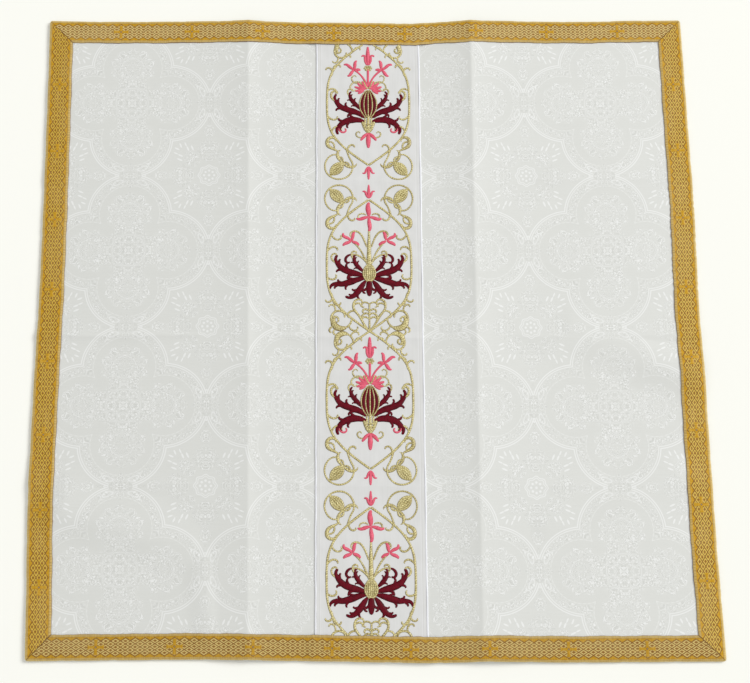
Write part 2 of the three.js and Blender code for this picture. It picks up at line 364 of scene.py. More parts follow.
class Surface:
    """A Principled material, with one colour after another painted over its base."""

    def __init__(self, name, base, roughness, sheen=0.0, specular=0.3):
        self.material = bpy.data.materials.new(name)
        self.material.use_nodes = True
        self.tree = self.material.node_tree
        self.shader = self.tree.nodes["Principled BSDF"]
        self.shader.inputs["Roughness"].default_value = roughness
        self.shader.inputs["Sheen Weight"].default_value = sheen
        self.shader.inputs["Sheen Roughness"].default_value = SHEEN_ROUGHNESS
        self.shader.inputs["Specular IOR Level"].default_value = specular
        self.shown = base

    def uv(self, layer="flat"):
        """The two coordinates of a UV layer, in millimetres."""
        node = self.tree.nodes.new("ShaderNodeUVMap")
        node.uv_map = layer
        split = self.tree.nodes.new("ShaderNodeSeparateXYZ")
        self.tree.links.new(node.outputs["UV"], split.inputs[0])
        return Field(self.tree, split.outputs[0]), Field(self.tree, split.outputs[1])

    def noise(self, u, v, u_scale, v_scale, seed=0.0, detail=1.0):
        """Noise about 0.5 over two coordinates, with that many turns in a millimetre."""
        join = self.tree.nodes.new("ShaderNodeCombineXYZ")
        for entry, value in zip(join.inputs, (u * u_scale, v * v_scale)):
            self.tree.links.new(value.socket, entry)
        join.inputs[2].default_value = seed
        node = self.tree.nodes.new("ShaderNodeTexNoise")
        node.inputs["Scale"].default_value = 1.0
        node.inputs["Detail"].default_value = detail
        self.tree.links.new(join.outputs[0], node.inputs["Vector"])
        return Field(self.tree, node.outputs[0])

    def paint(self, share, colour):
        """Lays a colour over what is there, by a share that varies."""
        node = self.tree.nodes.new("ShaderNodeMix")
        node.data_type = "RGBA"
        self.tree.links.new(share.socket, node.inputs["Factor"])
        under, over = [entry for entry in node.inputs if entry.type == "RGBA"]
        if isinstance(self.shown, tuple):
            under.default_value = self.shown
        else:
            self.tree.links.new(self.shown, under)
        over.default_value = colour
        self.shown = next(result for result in node.outputs if result.type == "RGBA")
        self.tree.links.new(self.shown, self.shader.inputs["Base Color"])

    def roughness(self, field):
        self.tree.links.new(field.socket, self.shader.inputs["Roughness"])

    def bump(self, height, distance_mm, strength):
        node = self.tree.nodes.new("ShaderNodeBump")
        node.inputs["Strength"].default_value = strength
        node.inputs["Distance"].default_value = distance_mm * MM
        self.tree.links.new(height.socket, node.inputs["Height"])
        self.tree.links.new(node.outputs["Normal"], self.shader.inputs["Normal"])


# The damask's woven figures, on a square lattice, folded into one eighth of a repeat. Here and
# for the other weaves, an edge or a half width has its blur with it, and a line or a ring has
# its place, half width and blur
DAMASK_PITCH = 134.0
DAMASK_ORIGIN = (-1.0, -3.0)
DIAGONAL = 0.7071
SCALLOP = 0.6
ROSETTE_RINGS = ((8.8, 0.35, 0.3), (7.2, 0.3, 0.25))
ROSETTE_BEADS = ((0.0, 0.0, 1.1), (4.3, 0.0, 1.0), (3.0, 3.0, 1.0))
BEAD_BLUR = 0.3
LEAF_MIDDLE = 21.2
LEAF_HALVES = (8.0, 6.0)
# Each bulge of a palmette: its place on the axis, its half length and its half width
PALMETTE_BULGES = ((23.0, 11.5, 10.5), (40.5, 6.4, 5.4))
PALMETTE_FOOT = (11.4, 0.3)
SPIKE_MIDDLE = 50.0
SPIKE_HALVES = (3.4, 1.3)
# Each dash: its place and its two half lengths
DASHES = (
    (25.2, 14.6, 2.5, 0.75), (24.6, 18.4, 2.3, 0.75), (28.6, 20.4, 2.0, 0.6), (27.6, 24.6, 2.2, 0.7),
)
DASH_ALONG = (0.91, 0.41)
KNOT_EDGE = (9.6, 0.3)
KNOT_CLEAR = (9.6, 0.4)
LOBE_OFFSET = 34.4
LOBE_RINGS = ((35.4, 0.4, 0.25), (33.7, 0.32, 0.25))
LOBE_EDGE = (34.8, 0.2)
LEAFY_RING = (29.6, 3.1, 0.3)
BEADED_RING = (25.4, 0.35, 0.35)
SMOOTH_RING = (22.0, 3.2, 0.5)
HEAD_EDGE = (18.4, 0.3)
EYE_RING = (9.4, 0.35, 0.3)
ALMOND_TURN = -1.92
ALMOND_RADIUS = 29.8
ALMOND_HALVES = (5.0, 2.2)
ALMOND_LINE = (0.85, 0.14, 0.14)
CENTRE_EDGE = (17.0, 0.4)
CENTRE_RING = (11.0, 0.4, 0.3)
FLOAT_HALF = (0.16, 0.1)
SHADOW_HALF = (0.14, 0.1)
DAMASK_GROUND = linear(220, 221, 216)
DAMASK_GRAIN = linear(213, 214, 209)
DAMASK_SLUB = linear(226, 227, 223)
DAMASK_FIGURE = linear(209, 210, 205)
DAMASK_SHADOW = linear(205, 206, 201)
DAMASK_BRIGHT = linear(240, 241, 239)


def damask_material():
    surface = Surface("damask_silk", DAMASK_GROUND, roughness=0.6, sheen=0.12, specular=0.35)
    x, y = surface.uv()
    a = (x - DAMASK_ORIGIN[0]).fold(DAMASK_PITCH)
    b = (y - DAMASK_ORIGIN[1]).fold(DAMASK_PITCH)
    p = a.most(b)
    q = a.least(b)
    half = DAMASK_PITCH / 2
    ragged = surface.noise(p, q, 0.4, 0.4) - 0.5

    # Rosette: a scalloped double ring with beads in it
    scallop = p.hypot(q) - (q.arctan2(p) * 8).cosine() * SCALLOP
    ring = any_of([scallop.line(*each) for each in ROSETTE_RINGS])
    beads = any_of([(p - at_p).hypot(q - at_q).within(radius, BEAD_BLUR)
                    for at_p, at_q, radius in ROSETTE_BEADS])

    # A leaf on each diagonal, and a crowned palmette on each axis
    leaf_along = ((p + q) * DIAGONAL - LEAF_MIDDLE) / LEAF_HALVES[0]
    leaf_out = leaf_along.hypot((p - q) * DIAGONAL / LEAF_HALVES[1])
    leaf = (leaf_out + ragged * 0.7).within(1.0, 0.06)
    bulges = []
    for at, half_length, half_width in PALMETTE_BULGES:
        share = (p - at) / half_length
        bulges.append((share * share).flipped().most(0.0) * half_width)
    width = any_of(bulges)
    palmette = (q - width + ragged * 5.0).within(0.0, 0.3) * p.past(*PALMETTE_FOOT)
    spike_along = (p - SPIKE_MIDDLE) / SPIKE_HALVES[0]
    spike = spike_along.hypot(q / SPIKE_HALVES[1]).within(1.0, 0.1)

    # Dashes beside the palmettes, and the flower where four quatrefoils meet
    dashes = []
    for at_p, at_q, long_half, thick_half in DASHES:
        from_p, from_q = p - at_p, q - at_q
        along = (from_p * DASH_ALONG[0] + from_q * DASH_ALONG[1]) / long_half
        beside = (from_q * DASH_ALONG[0] - from_p * DASH_ALONG[1]) / thick_half
        dashes.append(along.hypot(beside).within(1.0, 0.2))
    from_knot = p - half
    knot_r = from_knot.hypot(q)
    knot_wave = (q.arctan2(from_knot) * 8).cosine() * 1.4
    knot = (knot_r - knot_wave + ragged * 3.0).within(*KNOT_EDGE)
    off_knot = knot_r.past(*KNOT_CLEAR)

    # Quatrefoil: circles about the lobes, a leafy ring inside them, then heads on a smooth ring
    lobe_r = from_knot.hypot(q - LOBE_OFFSET)
    lobe_turn = (q - LOBE_OFFSET).arctan2(from_knot)
    outline = any_of([lobe_r.line(*each) for each in LOBE_RINGS])
    leafy_ring = lobe_r.line(*LEAFY_RING)
    beading = ((lobe_turn * 40).cosine() * 0.25 + lobe_r.line(*BEADED_RING)).past(0.72, 0.3)
    almond_along = (lobe_turn - ALMOND_TURN) * LEAFY_RING[0] / ALMOND_HALVES[0]
    almond = almond_along.hypot((lobe_r - ALMOND_RADIUS) / ALMOND_HALVES[1]).line(*ALMOND_LINE)
    petals = (lobe_turn * 10).cosine() * 1.7
    centre = (from_knot * 0.8).hypot((q - half) * 0.8) + ragged * 3.0
    head = (lobe_r + petals + ragged * 4.0).within(*HEAD_EDGE).most(centre.within(*CENTRE_EDGE))
    eye = lobe_r.line(*EYE_RING).most(centre.line(*CENTRE_RING))
    inside = lobe_r.within(*LOBE_EDGE)
    outside = inside.flipped()
    outer = leaf.most(palmette).most(spike) * outside
    figure = any_of([outer, leafy_ring * knot_r.past(10.5, 0.4), head * inside, knot])
    smooth_ring = lobe_r.line(*SMOOTH_RING) * head.flipped() * centre.past(18.0, 1.0)

    # Floats in the figures run beside their outlines, as light lines with dark ones by them: painted
    #     highlights on the raised floats and painted shadows beside them
    curling = surface.noise(p, q, 0.2, 0.2, seed=3.3, detail=2.0) * 7.0
    in_heads = lobe_r * 0.34 + petals * 0.3
    in_leaves = (q - width) * 0.3 + leaf_out * 1.6
    flow = in_heads * inside + in_leaves * outside + curling
    chopped = surface.noise(p + q, p - q, 0.42, 0.42, seed=4.4).past(0.42, 0.05) * figure
    floats = flow.fold(1.0).within(*FLOAT_HALF) * chopped
    float_shadows = (flow + 0.42).fold(1.0).within(*SHADOW_HALF) * chopped
    lines = any_of([outline * off_knot, ring, beads, any_of(dashes) * outside, eye * 0.35,
                    beading * 0.6 * off_knot, almond * leafy_ring * 0.7])

    # Broken threads of the weave, seen everywhere
    slub = surface.noise(x, y, 0.05, 0.8, seed=3.1)
    grain = surface.noise(x, y, 0.9, 0.9, seed=5.7)
    broken = surface.noise(x, y, 0.13, 0.13, seed=2.7).past(0.5, 0.25) * 0.6 + 0.4
    surface.paint(grain.past(0.5, 0.25) * 0.3, DAMASK_GRAIN)
    surface.paint(slub.past(0.55, 0.2) * 0.2, DAMASK_SLUB)
    surface.paint(smooth_ring * 0.12, DAMASK_FIGURE)
    surface.paint(figure * 0.12, DAMASK_FIGURE)
    surface.paint(float_shadows * broken * 0.8, DAMASK_SHADOW)
    surface.paint(floats * broken * 0.9, DAMASK_BRIGHT)
    surface.paint(lines * 0.75, DAMASK_BRIGHT)
    surface.roughness(figure * 0.12 + 0.5)
    surface.bump(grain * 0.3 + lines * 0.5 + floats * 0.5, 0.1, 0.3)
    return surface.material


# The satin and the white cord
SATIN = linear(221, 221, 219)
SATIN_CLOUD = linear(216, 216, 213)
SATIN_SLUB = linear(226, 226, 225)
SATIN_GROOVE_SHADE = linear(205, 204, 199)
SATIN_FOLD_HIGHLIGHT = linear(230, 230, 230)
GROOVE_LINE = (40.9, 0.3, 0.3)
FOLD_LINE = (40.2, 0.3, 0.3)
CORD_LIGHT = linear(244, 245, 249)
CORD_DARK = linear(226, 227, 230)


def satin_material():
    surface = Surface("band_satin", SATIN, roughness=0.42, sheen=0.1, specular=0.4)
    x, y = surface.uv()
    slub = surface.noise(x, y, 0.9, 0.03, seed=1.0)
    cloud = surface.noise(x, y, 0.06, 0.06, seed=9.0, detail=2.0)
    side = (x - BAND_MIDDLE).size()
    surface.paint(cloud.past(0.5, 0.3), SATIN_CLOUD)
    surface.paint(slub.past(0.5, 0.2) * 0.3, SATIN_SLUB)
    # Along each side of the band: painted shade in the stitched groove, and a painted highlight on the
    # fold beside it
    surface.paint(side.line(*GROOVE_LINE) * 0.5, SATIN_GROOVE_SHADE)
    surface.paint(side.line(*FOLD_LINE) * 0.6, SATIN_FOLD_HIGHLIGHT)
    surface.bump(slub, 0.06, 0.3)
    return surface.material


def cord_material():
    surface = Surface("white_cord", CORD_LIGHT, roughness=0.5, sheen=0.2, specular=0.4)
    u, v = surface.uv("thread")
    surface.paint(surface.noise(u, v, 0.8, 3.0), CORD_DARK)
    return surface.material


# The galloon's colours, and its weave with places from the middle of the strip
YELLOW = linear(199, 150, 14)
BROWN = linear(134, 88, 30)
DARK = linear(134, 90, 32)
INNER_RIB = linear(208, 178, 104)
OUTER_RIB = linear(224, 200, 130)
SEAM_AND_EDGE_SHADOW = linear(110, 66, 36)
CROSS_PITCH = 61.8
CROSS_ACROSS_HALF = 6.05
CROSS_ALONG_HALF = 6.4
CROSS_ARM_ACROSS = 1.15
CROSS_ARM_ALONG = 1.05
CROSS_DOTS = (((0.85, 0.12), DARK), ((0.5, 0.1), linear(150, 135, 110)))
LOZENGE_PITCH = CROSS_PITCH / 8
LOZENGE_ROW = 4.74
LOZENGE_PALE = (0.46, 0.08)
LOZENGE_GRID = (0.81, 0.07)
ZIGZAG_MARGIN = 0.5
ZIGZAG_LINE = (-0.2, 0.24, 0.14)
FIELD_HALF = 8.1
RIB_OUTER = 9.2
RIB_TURN = 0.95
STITCH_PITCH = 2.3
STITCH_LINE = (-9.0, 0.75, 0.15)
# Each row of stitches: how far it is set back, half a stitch, and its colour
STITCHES = ((0.0, 0.42, linear(218, 190, 110)), (0.8, 0.3, linear(128, 88, 45)))
INNER_EDGE_SHADOW = (-9.85, 0.16)
WEFT_DARK = linear(104, 66, 22)
WEFT_LIGHT = linear(236, 204, 120)
STREAK = linear(228, 192, 104)
WORN = linear(214, 194, 140)
SHADE = linear(84, 56, 24)


def galloon_material(name, painted_light_tint, shade, stitched):
    """The galloon's weave. Its tint shifts pale threads towards yellow and its shade darkens all:
    both are painted light, set for each strip for how light falls on threads that run its way.
    """
    # Painted light: the strip's tint turns its pale threads and its brown ground yellower
    pale = linear(228 - 8 * painted_light_tint, 206 - 22 * painted_light_tint, 136 - 70 * painted_light_tint)
    surface = Surface(name, linear(146, 100, 38 - 8 * painted_light_tint), roughness=0.5, specular=0.22)
    u, v = surface.uv()
    side = v.size()
    a = u.fold(LOZENGE_PITCH) / (LOZENGE_PITCH / 2)
    b = v.fold(LOZENGE_ROW) / (LOZENGE_ROW / 2)
    near = (a + b).least((a + b) * -1.0 + 2.0)
    zigzag = side - a.flipped() * (LOZENGE_ROW / 2) - LOZENGE_ROW - ZIGZAG_MARGIN
    surface.paint(near.past(*LOZENGE_PALE), pale)
    surface.paint(near.past(*LOZENGE_GRID), DARK)
    surface.paint(zigzag.past(0.0, 0.12), YELLOW)
    surface.paint(zigzag.line(*ZIGZAG_LINE) * 0.9, DARK)

    # Crosses, with arms that widen outwards and a dot in the middle
    du = u.fold(CROSS_PITCH)
    arm_across = du - side.past(5.2, 0.9) * 0.6 - CROSS_ARM_ACROSS
    arm_along = side - du.past(5.4, 1.0) * 0.8 - CROSS_ARM_ALONG
    cross_edge = arm_across.most(side - CROSS_ACROSS_HALF).least(arm_along.most(du - CROSS_ALONG_HALF))
    cross = cross_edge.within(0.0, 0.12)
    surface.paint(cross_edge.within(0.55, 0.15) * cross.flipped() * 0.3, DARK)
    surface.paint(cross, YELLOW)
    for edge, colour in CROSS_DOTS:
        surface.paint(du.hypot(v).within(*edge), colour)

    # Ribs, the stitches, and a dark line along the inner edge: painted shadow where the strip lies on
    # the cloth
    rib_zone = side.past(FIELD_HALF, 0.1)
    turns = u.fold(RIB_TURN) / (RIB_TURN / 2)
    surface.paint(rib_zone, INNER_RIB)
    surface.paint(side.line(FIELD_HALF, 0.14, 0.1) * 0.7, DARK)
    surface.paint(side.past(RIB_OUTER, 0.12), OUTER_RIB)
    surface.paint(side.line(RIB_OUTER, 0.12, 0.12) * 0.7, BROWN)
    surface.paint(turns.within(0.35, 0.25) * rib_zone * 0.22, DARK)
    for back, half_stitch, colour in STITCHES if stitched else ():
        stitch = (u + back).fold(STITCH_PITCH).within(half_stitch, 0.12)
        surface.paint(stitch * v.line(*STITCH_LINE) * 0.35, colour)
    # Painted shadow along the strip's inner edge
    surface.paint(v.within(*INNER_EDGE_SHADOW), SEAM_AND_EDGE_SHADOW)

    # Wear, the dark seams at the mitred corners, and the strip's painted shade
    weft = surface.noise(u, v, 0.9, 0.3, seed=2.0)
    surface.paint(weft.past(0.54, 0.12) * 0.14, WEFT_DARK)
    surface.paint(weft.within(0.42, 0.1) * 0.16, WEFT_LIGHT)
    surface.paint(surface.noise(u, v, 0.1, 0.8, seed=4.0).past(0.56, 0.15) * 0.12, STREAK)
    surface.paint(surface.noise(u, v, 0.02, 0.05, seed=8.0).past(0.55, 0.15) * 0.1, WORN)
    mitre, mitre_side = surface.uv("mitre")
    seam_depth = mitre_side.within(0.1, 0.7) * 0.6 + 0.2
    surface.paint(mitre.within(0.35, 0.3) * seam_depth, SEAM_AND_EDGE_SHADOW)
    # Painted shade over the whole strip, set for each strip, with a slight random tone from the weft
    surface.paint(weft * 0.04 + shade, SHADE)
    surface.roughness(weft * 0.3 + 0.34)
    ridge = near * 0.4 + cross * 0.8 + turns * rib_zone * 0.5
    surface.bump(ridge + weft * 0.6, 0.12, 0.4)
    return surface.material


# Embroidery threads. Stitches run across a line, slanted, or gold runs along it and is tied down
STITCH_SLANT = 0.45
STITCH_SPACING = 0.55
GOLD_SPACING = 0.5
COUCHING_PITCH = 1.9
COUCHING_HALF = (0.34, 0.24)


def thread_material(name, deep, middle, bright, across, roughness, specular):
    """Embroidery thread. The coordinates are along and across each line of stitches, and the
    second layer has the place from its middle, 0, to its edge, 1."""
    surface = Surface(name, middle, roughness=roughness, specular=specular)
    u, v = surface.uv("thread")
    rim, tone = surface.uv("place")
    if across:
        slanted = u + v * STITCH_SLANT
        strands = surface.noise(slanted, v, 2.6, 0.3, seed=3.0, detail=2.0)
        ridges = slanted.fold(STITCH_SPACING)
    else:
        strands = surface.noise(u, v, 0.5, 2.8, seed=6.0, detail=2.0)
        couching = (u + v * 0.5).fold(COUCHING_PITCH).within(*COUCHING_HALF)
        ridges = v.fold(GOLD_SPACING) + couching.flipped() * 0.3
    # Strands picked at random are lighter, and others darker: the thread's random tone, partly painted
    # highlights on the lighter strands
    surface.paint(strands.past(0.5, 0.16), bright)
    surface.paint(strands.within(0.42, 0.1) * 0.7, deep)
    surface.paint(surface.noise(u, v, 0.22, 0.22, seed=1.0).past(0.5, 0.2) * 0.25, deep)
    if not across:
        surface.paint(couching * 0.5, deep)
    # Painted shade: each line of stitches darkens towards its edges
    surface.paint(rim.past(0.7, 0.24) * 0.85, deep)
    surface.paint(tone.past(0.7, 0.5) * 0.25, deep)
    surface.bump(ridges + strands * 0.6, 0.16, 0.5)
    return surface.material


GOLD = dict(deep=linear(104, 82, 26), middle=linear(214, 196, 116), bright=linear(252, 244, 184),
            across=False, roughness=0.38, specular=0.5)
BURGUNDY = dict(deep=linear(58, 2, 10), middle=linear(98, 4, 22), bright=linear(120, 10, 32),
                across=True, roughness=0.5, specular=0.12)
PINK = dict(deep=linear(190, 58, 82), middle=linear(232, 92, 116), bright=linear(242, 122, 142),
            across=True, roughness=0.5, specular=0.2)

# The ground cloth. Grids have their spacing, then the one near creases and how far that reaches
CLOTH_EDGE = EDGE - CLOTH_INSET
UPRIGHT_CREASES = (LEFT_CREASE, RIGHT_CREASE)
LEVEL_CREASES = (MIDDLE_CREASE, UPPER_CREASE, LOWER_CREASE)
columns = lines_with_creases(-CLOTH_EDGE, CLOTH_EDGE, 3.1, UPRIGHT_CREASES, 0.9, 7.0)
rows = lines_with_creases(-CLOTH_EDGE, CLOTH_EDGE, 3.1, LEVEL_CREASES, 0.9, 4.5)
grid_across, grid_up = np.meshgrid(columns, rows)
ground = closed_sheet(
    "ground",
    lay_out(grid_across, grid_up, CLOTH_THICKNESS),
    lay_out(grid_across, grid_up, 0.0),
    {"flat": np.stack([grid_across, grid_up], axis=-1)},
    damask_material(),
)

# The satin band, slightly puckered
BAND_BASE = CLOTH_THICKNESS + 0.1
BAND_TOP = 1.95
PUCKER = 0.05
band_end = EDGE - BAND_TUCK
band_columns = spaced(BAND_LEFT, BAND_RIGHT, 1.6)
band_rows = lines_with_creases(-band_end, band_end, 1.7, LEVEL_CREASES, 0.8, 4.0)
band_across, band_up = np.meshgrid(band_columns, band_rows)
pucker = PUCKER * np.sin(band_across * 0.55 + 1.3 * np.sin(band_up * 0.21))
pucker = pucker + PUCKER * np.sin(band_up * 0.43 + 1.7 * np.sin(band_across * 0.17))
band = closed_sheet(
    "band",
    lay_out(band_across, band_up, BAND_TOP + pucker),
    lay_out(band_across[:, [0, -1]], band_up[:, [0, -1]], BAND_BASE),
    {"flat": np.stack([band_across, band_up], axis=-1)},
    satin_material(),
)

# The white cords: two plies twisted together
CORD_STEP = 0.75
CORD_SIDES = 10
CORD_PITCH = 4.2
CORD_RADIUS = 0.85
CORD_WAIST = 0.82
CORD_BULGE = 0.2
CORD_HEIGHT = 1.5
CORD_FLATNESS = 0.75


def twisted_cord(name, across_at, material, hand):
    """A cord of two plies along the band's side."""
    ups = spaced(-band_end, band_end, CORD_STEP)
    sway = 0.12 * np.sin(ups * 0.07 + across_at) + 0.08 * np.sin(ups * 0.19)
    turn = np.linspace(0, 2 * np.pi, CORD_SIDES, endpoint=False)
    angle = turn[None, :]
    twist = hand * 2 * np.pi * ups[:, None] / CORD_PITCH
    radius = CORD_RADIUS * (CORD_WAIST + CORD_BULGE * np.abs(np.cos(angle - twist)))
    across = across_at + sway[:, None] + radius * np.cos(angle)
    up = ups[:, None] + np.zeros_like(angle)
    height = CORD_HEIGHT + CORD_FLATNESS * radius * np.sin(angle)
    points = lay_out(across, up, 0.0)
    centre_lift = lift_at(np.full(len(ups), across_at), ups)
    points[..., 2] = centre_lift[:, None] + height
    faces = tube_faces(len(ups), CORD_SIDES, 0, False)
    uv = np.stack([up, (angle - twist) * CORD_RADIUS], axis=-1)
    return make_piece(name, points.reshape(-1, 3), faces, material, {"thread": uv.reshape(-1, 2)})


cord_white = cord_material()
cord_left = twisted_cord("cord_left", BAND_LEFT - EDGING_WIDTH / 2, cord_white, 1)
cord_right = twisted_cord("cord_right", BAND_RIGHT + EDGING_WIDTH / 2, cord_white, -1)

# The galloon strips
STRIP_STEP = 0.72
STRIP_LINES = 28
STRIP_BASE = CLOTH_THICKNESS + 0.05
STRIP_TOP = 2.1
SELVEDGE_DROP = 0.45
CORNER_RADIUS = 2.2
GALLOON_CLIMB = 1.0
# The weave's relief, in millimetres
PALE_RISE = 0.14
PALE_PEAK = 0.64
PALE_SPREAD = 0.2
PALE_FIELD = 7.2
CROSS_RISE = 0.26
CROSS_RISE_ACROSS = 1.4
CROSS_RISE_ALONG = 1.3
RIB_RISE = 0.2
# Each rib: its middle and its spread
RIBS = ((8.5, 0.5), (9.6, 0.42))
SELVEDGE_START = 8.2
BILLOW_ROOM = 0.12
# Each wave of a selvedge: its height, how fast it turns, and how its phase counts
SELVEDGE_WAVES = ((0.2, 0.17, 1), (0.1, 0.61, 2), (0.04, 1.7, 3))
# How far from a corner the waves start to fade, and where they are gone
STILL_CORNER = (28.0, 18.0)
PUCKER_FADE = 12.0


def round_corner(along, out):
    """Rounds the outer corner where two strips meet."""
    start = EDGE - CORNER_RADIUS
    a = np.maximum(0, np.abs(along) - start)
    o = np.maximum(0, out - start)
    scale = np.where(a * o > 0, np.maximum(a, o) / np.maximum(np.hypot(a, o), 1e-9), 1.0)
    both_past = a * o > 0
    along = np.where(both_past, np.sign(along) * (start + a * scale), along)
    out = np.where(both_past, start + o * scale, out)
    return along, out


def galloon_climb(across):
    """How much higher the galloon lies where it passes over the band and its cords."""
    over_left = BAND_LEFT - 2 * GAP - EDGING_WIDTH
    over_right = BAND_RIGHT + 2 * GAP + EDGING_WIDTH
    beside = np.maximum(0, np.maximum(over_left - across, across - over_right))
    return (1 - smoothstep(beside, 0, SLOPE)) * GALLOON_CLIMB


def galloon_relief(u, v):
    """Height of the weave over the strip's plain top, rounded down at its selvedges."""
    side = np.abs(v)
    cell_u = np.abs((u / LOZENGE_PITCH + 0.5) % 1 - 0.5) * 2
    cell_v = np.abs((v / LOZENGE_ROW + 0.5) % 1 - 0.5) * 2
    near = np.minimum(cell_u + cell_v, 2 - cell_u - cell_v)
    relief = PALE_RISE * np.exp(-(((near - PALE_PEAK) / PALE_SPREAD) ** 2)) * (side < PALE_FIELD)
    du = np.abs((u / CROSS_PITCH + 0.5) % 1 - 0.5) * CROSS_PITCH
    across_arm = (du < CROSS_RISE_ACROSS) & (side < CROSS_ACROSS_HALF)
    along_arm = (side < CROSS_RISE_ALONG) & (du < CROSS_ALONG_HALF)
    relief = np.where(across_arm | along_arm, CROSS_RISE, relief)
    rib = sum(np.exp(-(((side - middle) / spread) ** 2)) for middle, spread in RIBS)
    drop = smoothstep(side, SELVEDGE_START, GALLOON_WIDTH / 2)
    return relief + RIB_RISE * rib - SELVEDGE_DROP * drop


def galloon_strip(name, material, turn, over_band, first, pitch, phase, pucker):
    """A strip of galloon along one edge. turn gives a cut place from the place along the edge
    and out from the cloth's middle, first and pitch are those of its crosses on the laid cloth,
    phase sets the small waves of its selvedges, and pucker has its ends, height and length."""
    outs = np.linspace(INNER_EDGE, EDGE, STRIP_LINES)
    count = int(round(2 * EDGE / STRIP_STEP)) + 1
    share = np.linspace(-1, 1, count)
    out, part = np.meshgrid(outs, share)
    along = part * (out - MITRE_OFFSET)
    v = out - (EDGE + INNER_EDGE) / 2
    side = v / (GALLOON_WIDTH / 2)
    fade = 1 - smoothstep(np.abs(along), EDGE - STILL_CORNER[0], EDGE - STILL_CORNER[1])
    wave = sum(h * np.sin(along * f + k * phase) for h, f, k in SELVEDGE_WAVES)
    low, high, size, length = pucker
    zone = smoothstep(along, low, low + PUCKER_FADE)
    zone = zone * (1 - smoothstep(along, high - PUCKER_FADE, high))
    ripple = size * zone * np.sin(2 * np.pi * along / length + 1.5 * np.sin(along * 0.13))
    moved = out + (wave + ripple * 0.5) * fade * np.abs(side) ** 3 * np.sign(side)
    across, up = turn(*round_corner(along, moved))
    x, y = lay_flat(*turn(along, out))
    travel = x if over_band else y
    u = (travel - first) * CROSS_PITCH / pitch
    climb = galloon_climb(across) if over_band else 0.0
    billow = 0.5 * ripple * (1 - 0.5 * side**2) + 0.1 * np.sin(along * 0.11 + phase)
    height = STRIP_TOP + climb + galloon_relief(u, v) + billow + BILLOW_ROOM
    top = lay_out(across, up, height)
    base = STRIP_BASE + climb + np.zeros_like(along) + np.maximum(0, billow) * 0.6
    under = lay_out(across, up, base)[:, [0, -1]]
    uv = np.stack([u, v], axis=-1)
    mitre = np.stack([(out - MITRE_OFFSET) - np.abs(along), side], axis=-1)
    along_x, along_y = turn(1.0, 0.0)
    out_x, out_y = turn(0.0, 1.0)
    if along_x * out_y - along_y * out_x > 0:
        top, under, uv, mitre = top[::-1], under[::-1], uv[::-1], mitre[::-1]
    return closed_sheet(name, top, under, {"flat": uv, "mitre": mitre}, material)


# Each strip: how it turns, whether it passes over the band, its first cross and their pitch, its
# pucker, and its painted tint and painted shade, set for how light falls on threads that run its way
STRIPS = {
    "galloon_top": (lambda along, out: (along, out), True, -216.0, 61.8,
                    (-60, 60, 0.12, 9.0), 0.0, 0.05),
    "galloon_bottom": (lambda along, out: (along, -out), True, -217.3, 61.75,
                       (-30, 80, 0.14, 8.0), 0.15, 0.15),
    "galloon_left": (lambda along, out: (-out, along), False, -218.0, 61.64,
                     (-60, 120, 0.08, 11.0), 1.0, 0.03),
    "galloon_right": (lambda along, out: (out, along), False, -212.8, 60.93,
                      (20, 130, 0.34, 6.2), 0.7, 0.0),
}
strips = {}
for order, (strip_name, details) in enumerate(STRIPS.items()):
    turn, over_band, first_cross, cross_pitch, pucker_there, painted_light_tint, shade = details
    weave = galloon_material(strip_name + "_weave", painted_light_tint, shade, not over_band)
    strips[strip_name] = galloon_strip(
        strip_name + "_braid", weave, turn, over_band, first_cross, cross_pitch,
        1.7 * order + 0.6, pucker_there,
    )

# Embroidery. One unit of the design is built up by rule, from two crossed waves, bent blades,
# petals at set angles and lines that wind up. Its x is from the band's middle and its y is up
# from the joint between two units, in millimetres on the laid cloth.
UNIT_HEIGHT = 262.0
UNIT_MIDDLE_HEIGHT = UNIT_HEIGHT / 2
UNIT_JOINTS = (-138.5 - UNIT_HEIGHT, -138.5, -138.5 + UNIT_HEIGHT)
UNIT_ACROSS = -1.0
STITCH_BASE = BAND_TOP - 0.12
STROKE_STEP = 0.8
CUT_UNDER_GALLOON = 1.2
PROFILE = ((-1.0, 0.0), (-0.7, 0.72), (0.0, 1.0), (0.7, 0.72), (1.0, 0.0))
THINNEST = 0.03
THINNEST_END = 0.05
# How high a line of stitches rises, unless it is given, and how round its ends are
PLAIN_RISE = 0.34
RISE_BY_WIDTH = 0.13
HIGHEST_RISE = 0.95
ROUNDNESS = 0.6
# What one line differs by from the next: its height, its tone and its place on the thread
LIFT_STEP = 0.004
LIFT_STEPS = 9
TONE_STEP = 0.37
THREAD_STEP = 7.3


def curve_through(places, step):
    """Points about a step apart on a smooth curve through the places."""
    p = np.asarray(places, dtype=float)
    lengths = np.linalg.norm(np.diff(p, axis=0), axis=1)
    t = np.concatenate([[0.0], np.cumsum(lengths)])
    count = max(4, int(round(t[-1] / step)) + 1)
    s = np.linspace(0, t[-1], count)
    if len(p) == 2:
        return p[0] + (p[1] - p[0]) * (s / t[-1])[:, None]
    slopes = np.diff(p, axis=0) / lengths[:, None]
    tangents = np.empty_like(p)
    before, after = lengths[:-1, None], lengths[1:, None]
    tangents[1:-1] = (slopes[:-1] * after + slopes[1:] * before) / (before + after)
    tangents[0] = 1.5 * slopes[0] - 0.5 * tangents[1]
    tangents[-1] = 1.5 * slopes[-1] - 0.5 * tangents[-2]
    k = np.clip(np.searchsorted(t, s, side="right") - 1, 0, len(lengths) - 1)
    d = lengths[k][:, None]
    h = (s - t[k])[:, None] / d
    return (
        (2 * h**3 - 3 * h**2 + 1) * p[k]
        + (h**3 - 2 * h**2 + h) * d * tangents[k]
        + (3 * h**2 - 2 * h**3) * p[k + 1]
        + (h**3 - h**2) * d * tangents[k + 1]
    )


